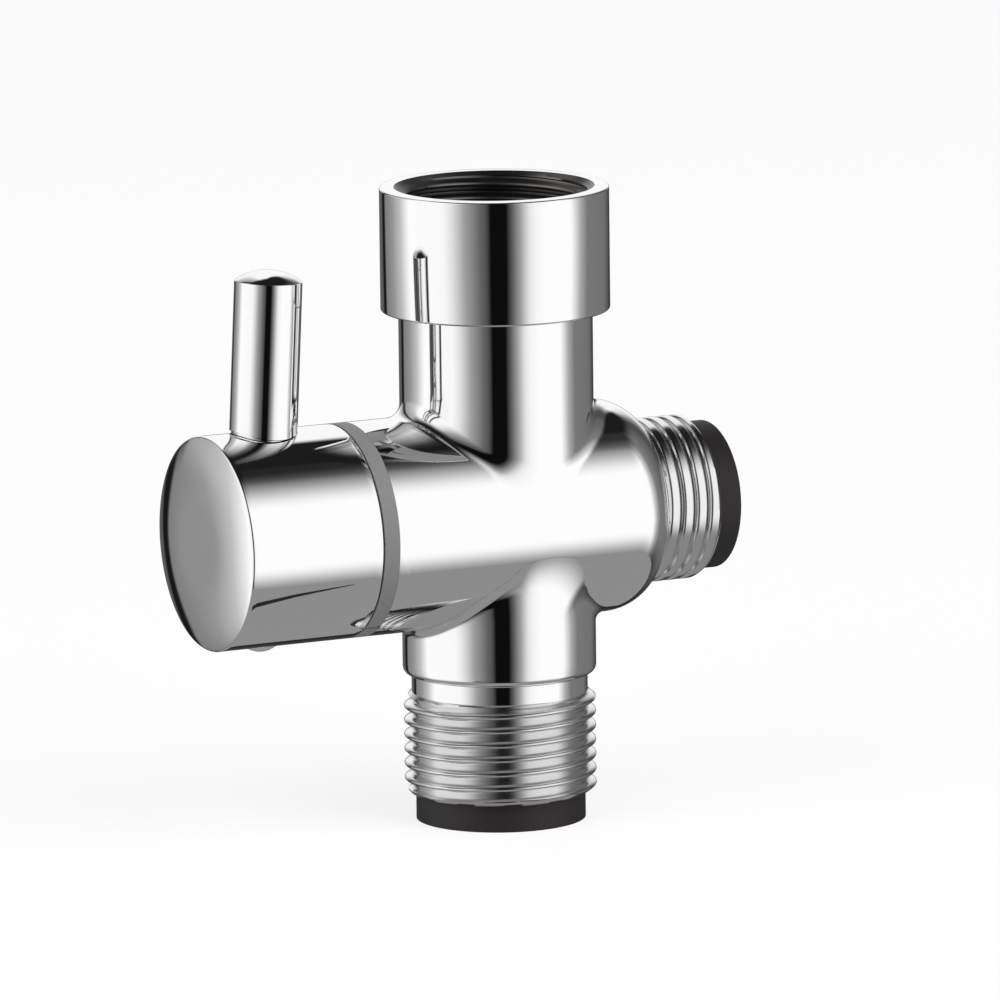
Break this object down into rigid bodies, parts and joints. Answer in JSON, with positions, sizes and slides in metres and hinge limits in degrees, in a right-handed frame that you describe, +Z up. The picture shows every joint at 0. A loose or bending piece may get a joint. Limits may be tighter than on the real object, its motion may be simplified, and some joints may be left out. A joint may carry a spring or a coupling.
{
  "type": "shower diverter valve",
  "caption": "Chromed brass shower diverter: inlet socket on top, threaded outlets below and at the side, barrel with a lever-handled rotary core.",
  "frame": {"origin": "centre of the lower outlet where its full thread begins, 0.65 mm above its end face", "axes": "+Z up the inlet and outlet axis towards the inlet, +X along the barrel towards the side outlet, so the lever is on the -X side and the picture's camera looks from -Y"},
  "size_m": [0.062, 0.025, 0.0696],
  "materials": {
    "chrome_casting": "polished",
    "chrome_handle": "polished",
    "grey_ring": "matte",
    "plain_brass": "satin",
    "spring_steel": "satin",
    "black_rubber": "matte",
    "white_acetal": "satin",
    "grey_plug": "satin"
  },
  "bodies": {
    "valve": {"body": "chrome_casting", "port_sleeve": "white_acetal", "end_seal": "black_rubber", "bonnet": "plain_brass", "bonnet_oring": "black_rubber", "slip_washer": "white_acetal", "trim_ring": "grey_ring", "inlet_washer": "black_rubber", "lower_washer": "black_rubber", "side_washer": "black_rubber"},
    "handle": {"spindle": "plain_brass", "spindle_oring_inner": "black_rubber", "spindle_oring_outer": "black_rubber", "circlip": "spring_steel", "diverter_core": "white_acetal", "core_oring_near": "black_rubber", "core_oring_far": "black_rubber", "spline_insert": "white_acetal", "handle_hub": "chrome_handle", "lever_pin": "chrome_handle", "grub_screw": "spring_steel", "grub_screw_cover": "grey_plug"}
  },
  "joints": [
    {"name": "handle_turn", "type": "hinge", "parent": "valve", "child": "handle", "pos_m": [0, 0, 0.02975], "axis": [1, 0, 0], "range_deg": [0, 90]}
  ]
}
